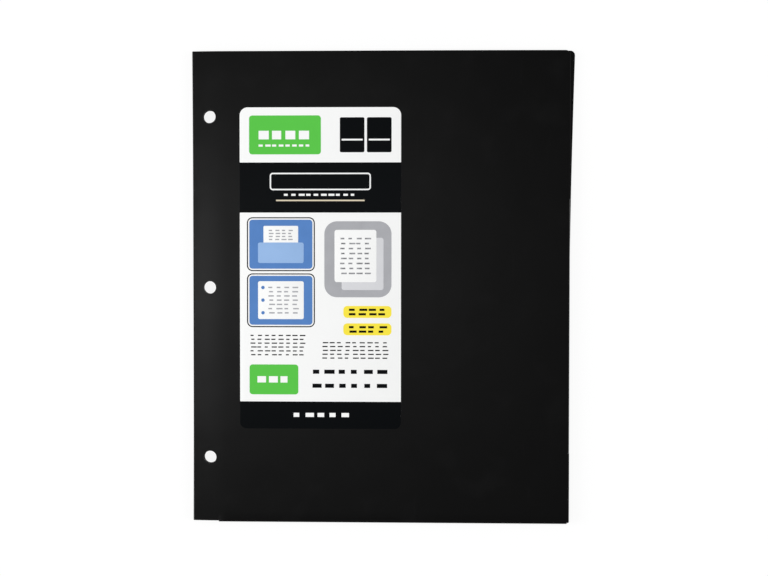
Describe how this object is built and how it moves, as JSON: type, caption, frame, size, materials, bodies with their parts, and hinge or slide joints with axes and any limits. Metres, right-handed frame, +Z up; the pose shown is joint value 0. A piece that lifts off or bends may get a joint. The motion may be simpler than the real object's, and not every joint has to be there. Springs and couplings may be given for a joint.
{
  "type": "pocket folder",
  "caption": "Letter-size plastic pocket folder punched for ring binders: hinged covers, an inner pocket and stay-put tab on each, and a printed paper label on the front.",
  "frame": {"origin": "centre of the shut folder's bounding box, on the table under the back cover", "axes": "+X from the spine to the fore edge, +Y from the bottom fold to the top edge, +Z up out of the front cover"},
  "size_m": [0.2382, 0.2984, 0.0049],
  "materials": {
    "black_sheet": "black polypropylene sheet with a fine grain and a soft sheen",
    "label_paper": "white coated paper label",
    "ink_black": "black print",
    "ink_green": "green print",
    "ink_blue": "blue print",
    "ink_grey": "grey print",
    "ink_yellow": "yellow print",
    "ink_beige": "beige print"
  },
  "bodies": {
    "back": {"back_cover": "black_sheet"},
    "spine": {"spine_strip": "black_sheet"},
    "front": {"front_cover": "black_sheet", "label_sheet": "label_paper", "label_band_black": "ink_black", "label_name_box": "ink_black", "label_rule_beige": "ink_beige", "label_foot_black": "ink_black", "label_block_green_upper": "ink_green", "label_block_green_lower": "ink_green", "label_sign_left_page": "ink_black", "label_sign_right_page": "ink_black", "label_patch_grey": "ink_grey", "label_panel_blue_1": "ink_blue", "label_panel_blue_2": "ink_blue", "label_mark_yellow_1": "ink_yellow", "label_mark_yellow_2": "ink_yellow"}
  },
  "joints": [
    {"name": "back_crease", "type": "hinge", "parent": "back", "child": "spine", "pos_m": [-0.1188, 0, 0.00125], "axis": [0, -1, 0], "range_deg": [0, 90]},
    {"name": "front_crease", "type": "hinge", "parent": "spine", "child": "front", "pos_m": [-0.1188, 0, 0.00351], "axis": [0, -1, 0], "range_deg": [0, 90]}
  ],
  "couplings": [
    {"joint": "back_crease", "follows": "front_crease", "ratio": 1}
  ]
}
